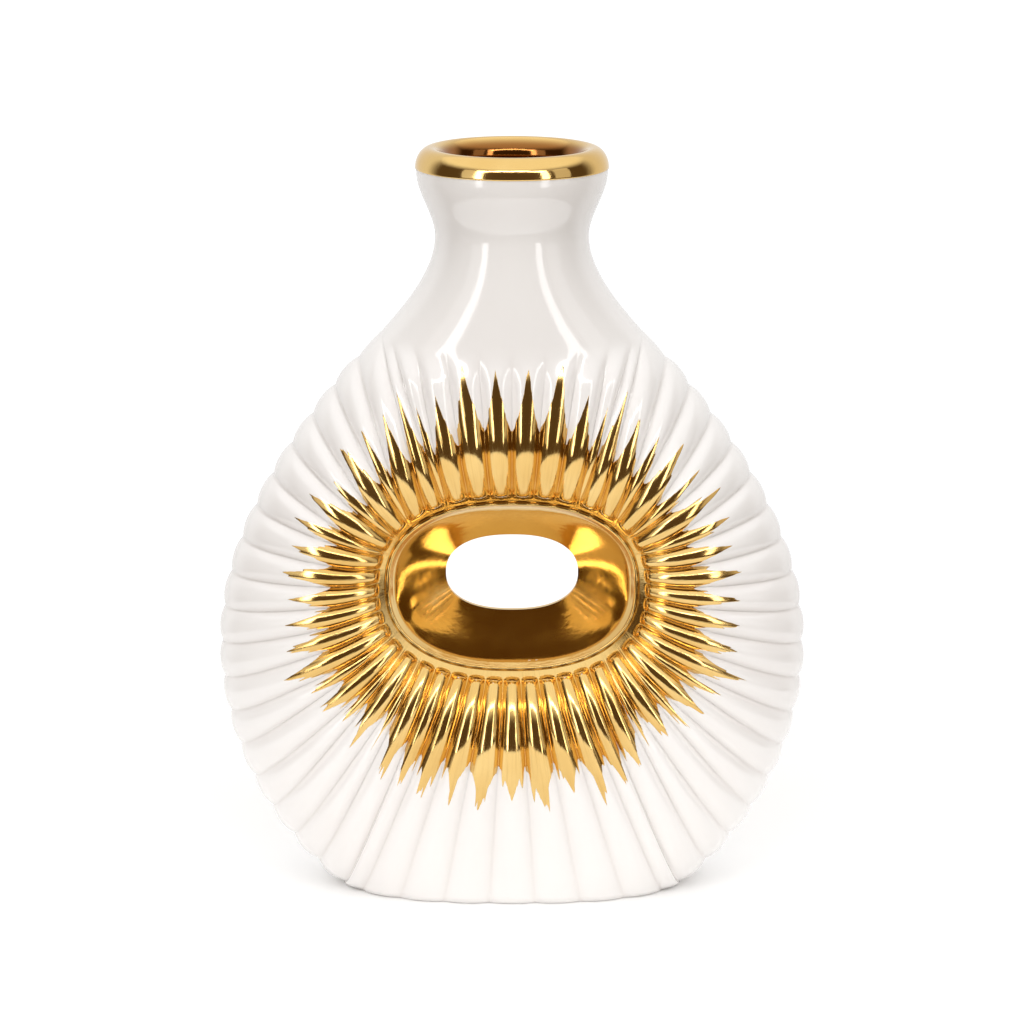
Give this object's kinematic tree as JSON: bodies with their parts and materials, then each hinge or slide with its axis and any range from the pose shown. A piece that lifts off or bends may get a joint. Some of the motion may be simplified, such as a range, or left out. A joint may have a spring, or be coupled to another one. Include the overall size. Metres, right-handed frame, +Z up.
{
  "type": "porcelain vase",
  "caption": "Flat fluted porcelain vase with a flared neck, a rolled gilt mouth and an oval eye right through its middle, ringed by pointed gilding.",
  "frame": {"origin": "bottom centre of the foot, on the table", "axes": "+Z up through the middle of the mouth, -Y out of the front face, +X to the right as seen from the front"},
  "size_m": [0.2196, 0.0792, 0.28],
  "materials": {
    "white_glaze": "warm white, glossy transparent glaze",
    "bare_porcelain": "matte, wiped free of glaze under the foot",
    "gold_lustre": "mirror-bright fired gold lustre"
  },
  "bodies": {
    "root": {"front_foot_panel": "white_glaze", "front_right_panel": "white_glaze", "front_shoulder_panel": "white_glaze", "front_left_panel": "white_glaze", "front_eye_wall": "white_glaze", "back_foot_panel": "white_glaze", "back_right_panel": "white_glaze", "back_shoulder_panel": "white_glaze", "back_left_panel": "white_glaze", "back_eye_wall": "white_glaze", "collar": "white_glaze", "neck": "white_glaze", "lip": "white_glaze", "floor": "bare_porcelain", "gold_lip": "gold_lustre", "front_gold_eye": "gold_lustre", "front_gold_rays": "gold_lustre", "back_gold_eye": "gold_lustre", "back_gold_rays": "gold_lustre"}
  },
  "joints": []
}
